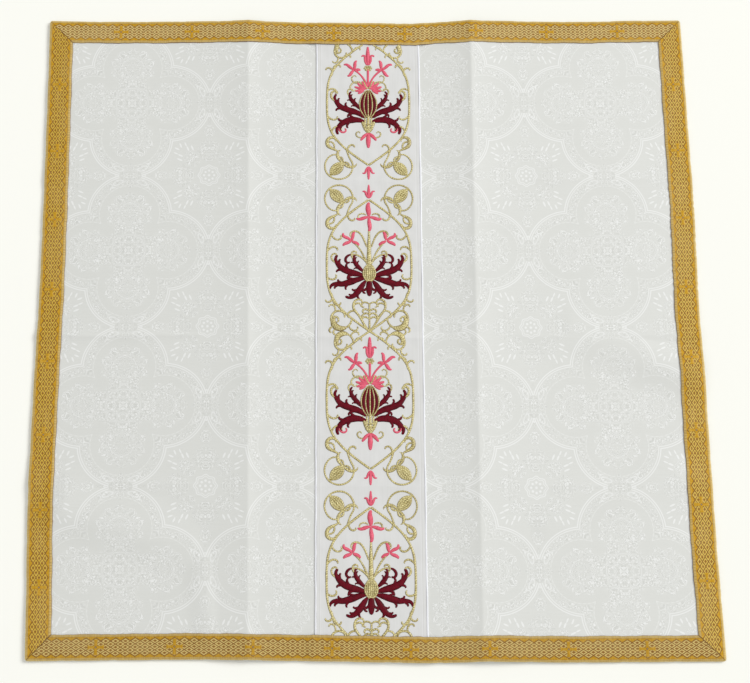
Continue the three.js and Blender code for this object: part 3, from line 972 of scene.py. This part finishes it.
class Needle:
    """Collects the stitched lines of one colour."""

    def __init__(self):
        self.lines = []

    def stroke(self, places, widths, rise=None):
        """One line of stitches, with the width given at even steps along it."""
        line = curve_through(places, STROKE_STEP)
        n = len(line)
        gaps = np.linalg.norm(np.diff(line, axis=0), axis=1)
        run = np.concatenate([[0.0], np.cumsum(gaps)])
        share = run / run[-1]
        width = np.interp(share, np.linspace(0, 1, len(widths)), widths)
        half = width / 2
        for distance in (run, run[-1] - run):
            end_radius = np.maximum(half, THINNEST_END)
            inside = np.clip(distance / end_radius, 0, 1)
            half = half * np.sqrt(np.maximum(0.0, 1 - (1 - inside) ** 2))
        half = np.maximum(half, THINNEST)
        ahead = np.gradient(line, axis=0)
        ahead = ahead / np.maximum(np.linalg.norm(ahead, axis=1), 1e-9)[:, None]
        beside = np.stack([-ahead[:, 1], ahead[:, 0]], axis=-1)
        if rise is None:
            rise = min(PLAIN_RISE + RISE_BY_WIDTH * float(np.max(width)), HIGHEST_RISE)
        tall = rise * np.clip(half / (0.5 * float(np.max(width))), 0, 1) ** ROUNDNESS
        number = len(self.lines)
        lift = LIFT_STEP * (number % LIFT_STEPS)
        tone = (number * TONE_STEP) % 1.0
        # Each point: its place, its coordinates on the thread, its share across and the line's tone
        section = []
        for offset, level in PROFILE:
            flat = line + beside * (half * offset)[:, None]
            section.append(np.column_stack([
                flat, lift + tall * level, run + THREAD_STEP * number, half * offset,
                np.full(n, abs(offset)), np.full(n, tone),
            ]))
        self.lines.append(np.stack(section, axis=1))

    def pair(self, places, widths, rise=None):
        """A stroke and its mirror image about the unit's middle."""
        self.stroke(places, widths, rise)
        self.stroke([(-x, y) for x, y in places], widths, rise)


gold = Needle()
burgundy = Needle()
pink = Needle()


# Shapes that the design is built from

def wander(x, y, heading, *legs):
    """Places on a line that starts in a heading. Each leg has a length and the angle that it
    turns by, to the left if over 0. Angles are in degrees."""
    places = [(x, y)]
    for length, bend in legs:
        count = max(2, math.ceil(abs(bend) / 30))
        for _ in range(count):
            middle = math.radians(heading + bend / count / 2)
            x += length / count * math.cos(middle)
            y += length / count * math.sin(middle)
            heading += bend / count
            places.append((x, y))
    return places


def place_on(line, share=1.0, turn=0.0):
    """A place at that share of a line, and the line's heading there, turned by an angle."""
    spot = share * (len(line) - 1)
    k = min(int(spot), len(line) - 2)
    (x0, y0), (x1, y1) = line[k], line[k + 1]
    heading = math.degrees(math.atan2(y1 - y0, x1 - x0))
    return x0 + (x1 - x0) * (spot - k), y0 + (y1 - y0) * (spot - k), heading + turn


def upturned(line):
    """A line mirrored about the unit's middle height."""
    return [(x, UNIT_HEIGHT - y) for x, y in line]


# How wide a shape is from its base to its tip, as shares of its greatest width
BLADE = (0.35, 0.8, 1.0, 0.95, 0.6, 0.1)
LEAF = (0.35, 0.8, 1.0, 0.98, 0.8, 0.55, 0.36)
LOBE = (0.8, 1.0, 0.85, 0.6)
PETAL = (0.45, 0.85, 1.0, 0.8, 0.45)
CRESCENT = (0.25, 0.7, 1.0, 1.0, 0.7, 0.25)
TENDRIL = (0.85, 1.15, 1.1, 0.8)


def shaped(shares, width):
    return [share * width for share in shares]


def tendril(x, y, heading, *legs, width=1.7):
    """A gold line on each side that usually winds up at its end."""
    line = wander(x, y, heading, *legs)
    gold.pair(line, shaped(TENDRIL, width))
    return line


def curl(length, bend):
    """Legs that wind up tighter and tighter."""
    return (length * 0.45, bend * 0.25), (length * 0.33, bend * 0.33), (length * 0.22, bend * 0.42)


# Leaves and flowers: where a leaf's lobes sit, their lengths and widths as shares of the leaf's
# width, their angles, and how far petals and tips hook round
LOBE_SHARES = (0.3, 0.5, 0.7, 0.88)
LOBE_LENGTH = 1.4
LOBE_WIDTH = 0.42
LOBE_ANGLE = 38.0
LOBE_BEND = 105.0
HOOK_LENGTH = 1.25
HOOK_BEND = 95.0


def lobed_leaf(x, y, heading, legs, width, side):
    """A burgundy leaf on each side. Its tip hooks to the side given, 1 left or -1 right, and its
    curling lobes leave to each side in turn."""
    body = wander(x, y, heading, *legs)
    tip = wander(*place_on(body), (width * HOOK_LENGTH, side * HOOK_BEND))
    burgundy.pair(body + tip[1:], shaped(LEAF, width))
    for number, share in enumerate(LOBE_SHARES):
        lobe_side = -side if number % 2 == 0 else side
        length = width * LOBE_LENGTH * (1.1 - 0.12 * number)
        lobe = wander(*place_on(body, share, lobe_side * LOBE_ANGLE),
                      (length * 0.6, 0), (length * 0.4, lobe_side * LOBE_BEND))
        burgundy.pair(lobe, shaped(LOBE, width * LOBE_WIDTH))
    return body


def petal(x, y, heading, length, hook):
    """Places on a petal that hooks round at its tip."""
    return wander(x, y, heading, (length * 0.62, -hook * 0.2), (length * 0.38, hook))


def floret(stem, petals, width):
    """A pink flower on each side, at a stem's end. Each petal has its angle from the stem, length
    and hook."""
    x, y, heading = place_on(stem)
    for turn, length, hook in petals:
        pink.pair(petal(x, y, heading + turn, length, hook), shaped(PETAL, width))


# The frame: two waves that mirror each other and cross in the middle
FRAME_LOW = 15.5
FRAME_HIGH = UNIT_HEIGHT - FRAME_LOW
FRAME_HALF = 35.4
FRAME_FULLNESS = 0.1
FRAME_WIDTH = 2.0
# Each tendril of the frame: its height, angle from the frame, length and bend
FRAME_TENDRILS = (
    (29, 40, 11, 230),
    (46, 32, 14, 235),
    (41, -30, 11, -215),
    (62, 165, 13, -190),
    (84, 35, 12, 220),
    (97, 28, 15, -250),
    (103, -38, 12, 230),
)


def frame_x(y):
    """How far right the wave is that starts to the right."""
    turn = 2 * math.pi * (y - FRAME_LOW) / (FRAME_HIGH - FRAME_LOW)
    wave = math.sin(turn) + FRAME_FULLNESS * math.sin(3 * turn)
    return FRAME_HALF * wave / (1 - FRAME_FULLNESS)


def off_frame(y, turn, *legs, width=1.6, upwards=True):
    """A tendril that leaves the right-hand side of the frame, and its mirror image."""
    step = 1.0 if upwards else -1.0
    here, ahead = abs(frame_x(y)), abs(frame_x(y + step))
    heading = math.degrees(math.atan2(step, ahead - here))
    return tendril(here, y, heading + turn, *legs, width=width)


def draw_frame():
    heights = np.linspace(FRAME_LOW, FRAME_HIGH, 45)
    gold.pair([(frame_x(y), float(y)) for y in heights], (FRAME_WIDTH,))
    for y, turn, length, bend in FRAME_TENDRILS:
        off_frame(y, turn, *curl(length, bend))
        off_frame(UNIT_HEIGHT - y, -turn, *curl(length, -bend), upwards=False)


def draw_joint_buds():
    """A pink bud on each end of the frame."""
    for turned in (False, True):
        start = (0, FRAME_LOW - 1)
        for side, length, width in ((0, 12.5, 2.8), (1, 9.5, 2.3), (-1, 9.5, 2.3)):
            line = petal(*start, 270 + side * 40, length, side * 130)
            pink.stroke(upturned(line) if turned else line, shaped(PETAL, width))


# The roundel in each corner, with a palmette in it
ROUNDEL_X = 25.2
ROUNDEL_Y = 14.6
ROUNDEL_RADIUS = 11.8
PALMETTE_HEADING = -47.0


def corner_lines():
    """Lines of the lower corner, each with its widths and rise."""
    ring_width = (1.6, 1.6, 1.4)
    start = math.radians(140)
    ring = wander(ROUNDEL_X + ROUNDEL_RADIUS * math.cos(start),
                  ROUNDEL_Y + ROUNDEL_RADIUS * math.sin(start),
                  230, (57, 277), (7, 80), (4, 90))
    yield [(frame_x(30), 30.0)] + ring, ring_width, None
    base_x, base_y = ROUNDEL_X - 3.4, ROUNDEL_Y + 3.4
    for k, rise in ((-1, 0.8), (1, 0.8), (-0.5, 0.95), (0.5, 0.95), (0, 1.15)):
        rib = wander(base_x, base_y, PALMETTE_HEADING + 50 * k, (18, -100 * k))
        yield rib, shaped(BLADE, 2.5), rise
    for side in (-1, 1):
        sepal = wander(base_x, base_y, PALMETTE_HEADING + side * 78, *curl(15, side * 150))
        yield sepal, shaped(BLADE, 3.0), None
        tip = wander(base_x, base_y, PALMETTE_HEADING + side * 150, *curl(9, -side * 190))
        yield tip, shaped(TENDRIL, 1.6), None
    # The scroll over the roundel
    scroll = wander(25.0, 27.6, 34, (8, -10), (9, 95), (7, 110), (3, 70))
    yield scroll, shaped(CRESCENT, 3.4), None
    twig = wander(29.4, 30.6, 110, *curl(12, -230))
    yield twig, shaped(TENDRIL, 1.5), None


def draw_corners():
    for line, widths, rise in corner_lines():
        gold.pair(line, widths, rise)
        gold.pair(upturned(line), widths, rise)


# The thistle
THISTLE_ROOT = 45.0
BULB_LOW = 58.0
BULB_HEIGHT = 28.0
BULB_HALF = 7.3


def meridian(share, low, height, half):
    """A line up an egg-shaped bulb, at that share of its half width."""
    line = []
    for part in np.linspace(0.04, 0.97, 8):
        swell = math.sin(math.pi * part ** 0.92) ** 0.75
        line.append((share * half * swell, low + height * float(part)))
    return line


def draw_thistle():
    # Root: a pink trefoil, gold curls, a bound neck and its sepals
    for turn, length, width in ((-58, 10, 3.3), (0, 14, 4.4), (58, 10, 3.3)):
        pink.stroke(wander(0, THISTLE_ROOT, 270 + turn, (length, -turn * 0.5)),
               shaped(PETAL, width))
    tendril(1.8, THISTLE_ROOT - 2, -40, (4, 20), *curl(13, 330), width=1.2)
    gold.stroke([(0, THISTLE_ROOT), (0, BULB_LOW + 4)], (3.4, 2.4))
    gold.pair(wander(0.6, THISTLE_ROOT, 62, (16, 14)), shaped(BLADE, 3.2))
    gold.pair(wander(0.4, THISTLE_ROOT, 42, (9, 62), (9, -40)), shaped(BLADE, 2.4))
    for k in range(3):
        half = 4.2 - 0.8 * k
        y = THISTLE_ROOT + 3 + 2.4 * k
        gold.stroke([(-half, y + 0.9), (0, y - 0.3), (half, y + 0.9)], (1.3, 1.7, 1.3), 0.95)
    # Leaves
    low = lobed_leaf(2.6, BULB_LOW - 3, 28, ((13, -38), (12, -42)), 6.4, -1)
    middle = lobed_leaf(3.0, BULB_LOW + 1, 46, ((16, -36), (14, 54)), 6.0, 1)
    upper = lobed_leaf(5.6, BULB_LOW + 8, 50, ((9, -6), (8, 30)), 4.2, 1)
    x, y, heading = place_on(low, turn=-50)
    pink.pair(wander(x, y - 1.0, heading, *curl(12, -280)), (1.6, 1.8, 1.4))
    for leaf, length, width in ((middle, 17, 1.9), (upper, 12, 1.4)):
        tendril(*place_on(leaf, turn=-30), *curl(length, 280), width=width)
    # Striped bulb
    for share in (0.26, 0.74):
        burgundy.pair(meridian(share, BULB_LOW, BULB_HEIGHT, BULB_HALF), (1.4, 3.0, 3.1, 2.6, 1.2))
    for share in (0.0, 0.5, 1.0):
        gold.pair(meridian(share, BULB_LOW, BULB_HEIGHT, BULB_HALF), (1.2, 1.3, 1.0), 0.98)
    # Tuft, with the stems of the flowers over it
    top = BULB_LOW + BULB_HEIGHT
    for k in range(6):
        turn = -38 + 25 * k
        pink.pair(wander(1.2 + 0.4 * (5 - k), top - 0.6, turn, (7.0 + 3.2 * math.sin(k * 0.62), 8)),
             shaped(PETAL, 3.0))
    gold.pair(wander(0, top, 40, (5, 35), (4, -20)), (1.7, 1.4), 0.85)
    pink.stroke([(0, top + 2), (0, top + 19)], (2.1,))
    stem = wander(0.9, top + 3, 74, (10, -22), (9, -18))
    pink.pair(stem, (1.8,))
    floret(stem, ((-10, 11, -90), (66, 9.5, 70), (-84, 9.0, 80), (146, 6.0, 50)), 3.1)
    tendril(2.8, top + 3, 58, (7, -50), *curl(18, -300), width=1.25)
    tendril(3.4, top + 4, 22, (6, -20), *curl(14, 280), width=1.15)
    # Spike
    for k in (-1, 0, 1):
        half = 4.2 - 1.2 * abs(k)
        y = top + 19.4 + 1.6 * k
        gold.stroke([(-half, y), (half, y)], (1.8,))
    pink.stroke(wander(0, top + 22, 90, (18, 0)), shaped(PETAL, 3.8))
    pink.pair(petal(0.6, top + 22, 58, 13, -190), shaped(PETAL, 2.6))


# The crossing. Each shoot of a scroll: its share along, its angle, its length in sizes and how
# far it winds
SCROLL_SHOOTS = (
    (0.12, -46, 1.3, -230),
    (0.34, -40, 1.0, -220),
    (0.5, 52, 1.1, 240),
    (0.62, -38, 1.2, -235),
)
SCROLL_LEAF_SHARE = 0.16


def draw_scroll(away, upwards, size):
    """A line that leaves the frame, winds round a leaf and puts out shoots. It starts that far
    above or below the crossing and bends away from the band's middle."""
    side = -1 if upwards else 1
    y = UNIT_MIDDLE_HEIGHT + side * away
    line = off_frame(y, side * 52, (size * 1.5, side * 96), (size * 1.6, side * 110),
                     (size, side * 95), (size * 0.6, side * 80), width=1.9, upwards=upwards)
    for share, turn, length, bend in SCROLL_SHOOTS:
        start = place_on(line, share, side * turn)
        tendril(*start, *curl(size * length, side * bend), width=1.5)
    leaf = wander(*place_on(line, SCROLL_LEAF_SHARE, side * -8),
                  (size * 0.9, side * 70), (size * 0.8, side * 75), (size * 0.4, side * 60))
    gold.pair(leaf, shaped(BLADE, size * 0.6), 1.0)


def draw_crossing():
    middle = UNIT_MIDDLE_HEIGHT
    draw_scroll(11.0, False, 9.8)
    draw_scroll(10.0, True, 8.8)
    # Branches and a sprig over the crossing, and shoots under it
    branch = tendril(1.0, middle + 1.0, 50, (10, 14), (9, -16), *curl(19, 260), width=1.9)
    for share, turn, length, bend in ((0.16, 30, 12, 225), (0.3, -42, 12, -225), (0.42, 38, 10, 220)):
        tendril(*place_on(branch, share, turn), *curl(length, bend), width=1.5)
    gold.stroke([(0, middle), (0, middle + 24)], (1.9, 1.7))
    for k in range(2):
        tendril(0.3, middle + 10 + 7 * k, 62, *curl(10 - k, -250), width=1.6)
    tendril(0, middle + 23, 56, *curl(12, -290), width=1.5)
    for away, length in ((9, 9), (17, 11), (26, 9)):
        off_frame(middle - away, -38, *curl(length, 230), width=1.5)


# The lily
LILY_ROOT = 176.0


def draw_lily():
    burgundy.stroke(wander(0, LILY_ROOT, 270, (15, 0)), shaped(PETAL, 6.2))
    burgundy.pair(wander(0.6, LILY_ROOT - 6, 300, (7, 40)), shaped(PETAL, 2.6))
    lobed_leaf(2.6, LILY_ROOT - 1, -50, ((9, -10), (9, 24)), 5.6, 1)
    lobed_leaf(3.0, LILY_ROOT + 1, -8, ((14, -14), (12, 30)), 6.0, -1)
    long = lobed_leaf(3.4, LILY_ROOT + 3, 14, ((14, 2), (13, 44)), 6.2, 1)
    short = lobed_leaf(4.2, LILY_ROOT + 6, 42, ((8, 6), (7, 34)), 4.0, 1)
    for leaf, length in ((long, 15), (short, 12)):
        tendril(*place_on(leaf, turn=-40), *curl(length, 280), width=1.6)
    # Gold bulb and stems
    gold.stroke(meridian(0.0, LILY_ROOT - 3, 17, 5.0), (4.6, 8.8, 5.4), 0.7)
    for share in (0.0, 0.36, 0.7, 1.0):
        gold.pair(meridian(share, LILY_ROOT - 3, 17, 5.0), (1.2, 1.8, 1.2), 1.05)
    top = LILY_ROOT + 13
    gold.stroke([(0, top - 1), (0, top + 15), (0, top + 30)], (4.6, 3.6, 1.6))
    stem = wander(1.6, top, 72, (13, -12), (12, -22))
    gold.pair(stem, (1.8, 1.6, 1.5))
    floret(stem, ((0, 11, 120), (66, 9, 60), (-74, 9, -60), (170, 8, 60)), 3.2)
    low_stem = wander(2.4, top + 2, 56, (10, -34), (5, -34))
    gold.pair(low_stem, (1.8, 1.6))
    burgundy.pair(wander(*place_on(low_stem), *curl(13, -250)), (1.6, 2.6, 2.4, 1.6))
    tendril(1.8, top + 15, 74, (12, -14), *curl(15, -230), width=1.6)
    # Pink star
    heart = top + 42
    for turn, length, width, hook in ((90, 13.5, 4.6, -50), (270, 13.5, 3.8, -50)):
        pink.stroke(petal(0, heart, turn, length, hook), shaped(PETAL, width))
    pink.pair(petal(0, heart, -8, 11.5, 70), shaped(PETAL, 3.4))
    tendril(2.2, heart + 1.4, 50, *curl(14, -330), width=1.3)


for draw in (draw_frame, draw_joint_buds, draw_corners, draw_crossing, draw_thistle, draw_lily):
    draw()


def lay_embroidery(name, needle, material):
    """The unit's lines, laid along the band three times, and cut and closed under the galloon."""
    parts = []
    faces = []
    count = 0
    for joint in UNIT_JOINTS:
        for line in needle.lines:
            laid = line.copy()
            laid[..., 0] += UNIT_ACROSS
            laid[..., 1] += joint
            up = up_on_cut(laid[..., 0], laid[..., 1])
            laid[..., 2] = lift_at(laid[..., 0], up) + STITCH_BASE + line[..., 2]
            inside = (np.abs(up) < INNER_EDGE + CUT_UNDER_GALLOON).all(axis=1)
            turns = np.flatnonzero(np.diff(np.concatenate([[0], inside, [0]])))
            for start, end in zip(turns[::2].tolist(), turns[1::2].tolist()):
                if end - start < 2:
                    continue
                parts.append(laid[start:end].reshape(-1, laid.shape[-1]))
                faces += tube_faces(end - start, len(PROFILE), count, True)
                count += (end - start) * len(PROFILE)
    every = np.concatenate(parts)
    return make_piece(
        name, every[:, :3], faces, material, {"thread": every[:, 3:5], "place": every[:, 5:]},
    )


stitched_gold = lay_embroidery("embroidery_gold", gold, thread_material("gold_thread", **GOLD))
stitched_burgundy = lay_embroidery(
    "embroidery_burgundy", burgundy, thread_material("burgundy_thread", **BURGUNDY),
)
stitched_pink = lay_embroidery("embroidery_pink", pink, thread_material("pink_thread", **PINK))

# Each piece, the slot of its finish and the node that it replaces. All of them ride on the root
PIECES = (
    (ground, "damask", "ground_cloth"),
    (band, "satin", "centre_band"),
    (cord_left, "edging_cord", "band_edging_left"),
    (cord_right, "edging_cord", "band_edging_right"),
    (strips["galloon_top"], "galloon", "galloon_top"),
    (strips["galloon_bottom"], "galloon", "galloon_bottom"),
    (strips["galloon_left"], "galloon", "galloon_left"),
    (strips["galloon_right"], "galloon", "galloon_right"),
    (stitched_gold, "thread_gold", None),
    (stitched_burgundy, "thread_burgundy", None),
    (stitched_pink, "thread_pink", None),
)
for piece, slot_name, node in PIECES:
    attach(piece, "root")
    if node:
        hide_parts(node)

# The table, the lights and the camera
FLOOR_HALF = 3000.0
FLOOR_FAR = (0.955, 0.955, 0.893, 1.0)
FLOOR_SHADED_NEAR_KEY = (0.875, 0.875, 0.815, 1.0)
FLOOR_TOWARDS_KEY = (0.94, 0.34)
FLOOR_GRADE = (20.0, 420.0)
floor_surface = Surface("plain_table", FLOOR_FAR, roughness=0.9, specular=0.0)
floor_x, floor_y = floor_surface.uv()
towards_key = floor_x * FLOOR_TOWARDS_KEY[0] + floor_y * FLOOR_TOWARDS_KEY[1]
# Painted shade: the table is darker towards the key light, to even out the key's brighter light on
# that side
floor_surface.paint(towards_key.past(*FLOOR_GRADE), FLOOR_SHADED_NEAR_KEY)
floor_corners = [(-FLOOR_HALF, -FLOOR_HALF, 0), (FLOOR_HALF, -FLOOR_HALF, 0),
                 (FLOOR_HALF, FLOOR_HALF, 0), (-FLOOR_HALF, FLOOR_HALF, 0)]
floor = make_piece("table_top", floor_corners, [(0, 1, 2, 3)], floor_surface.material,
                   {"flat": [corner[:2] for corner in floor_corners]})

WORLD_STRENGTH = 0.52
world = bpy.data.worlds.new("soft_light")
world.use_nodes = True
background = world.node_tree.nodes["Background"]
background.inputs["Color"].default_value = (1.0, 1.0, 1.0, 1.0)
background.inputs["Strength"].default_value = WORLD_STRENGTH
bpy.context.scene.world = world

# Lights, each with the direction it comes from
KEY_FROM = (0.80, 0.30, 0.62)
KEY_DISTANCE = 6.0
KEY_POWER = 272.0
KEY_SIZE = 3.0
FILL_FROM = (-0.5, -0.3, 0.9)
FILL_STRENGTH = 0.45
FILL_SPREAD = 60.0


def add_light(name, kind, towards, distance):
    """A light that points at the middle of the cloth."""
    data = bpy.data.lights.new(name, kind)
    light = bpy.data.objects.new(name, data)
    length = math.sqrt(sum(part * part for part in towards))
    light.location = [part / length * distance for part in towards]
    light.rotation_euler = (0, math.acos(towards[2] / length), math.atan2(towards[1], towards[0]))
    bpy.context.scene.collection.objects.link(light)
    return data


key = add_light("key", "AREA", KEY_FROM, KEY_DISTANCE)
key.energy = KEY_POWER
key.shape = "DISK"
key.size = KEY_SIZE
fill = add_light("fill", "SUN", FILL_FROM, KEY_DISTANCE)
fill.energy = FILL_STRENGTH
fill.angle = math.radians(FILL_SPREAD)

# The camera, at the photo's viewing angle
FOCAL_PIXELS = 1552.0
IMAGE_WIDTH = 750
SENSOR = 36.0
CAMERA_SHIFT = 0.0573
CAMERA_PLACE = (-0.0321, -0.3500, 1.2392)
CAMERA_TILT = 15.1
camera_data = bpy.data.cameras.new("camera")
camera_data.sensor_width = SENSOR
camera_data.lens = SENSOR * FOCAL_PIXELS / IMAGE_WIDTH
camera_data.shift_x = CAMERA_SHIFT
camera = bpy.data.objects.new("camera", camera_data)
camera.location = CAMERA_PLACE
camera.rotation_euler = (math.radians(CAMERA_TILT), 0, 0)
bpy.context.scene.collection.objects.link(camera)
bpy.context.scene.camera = camera
bpy.context.scene.view_settings.view_transform = "Standard"
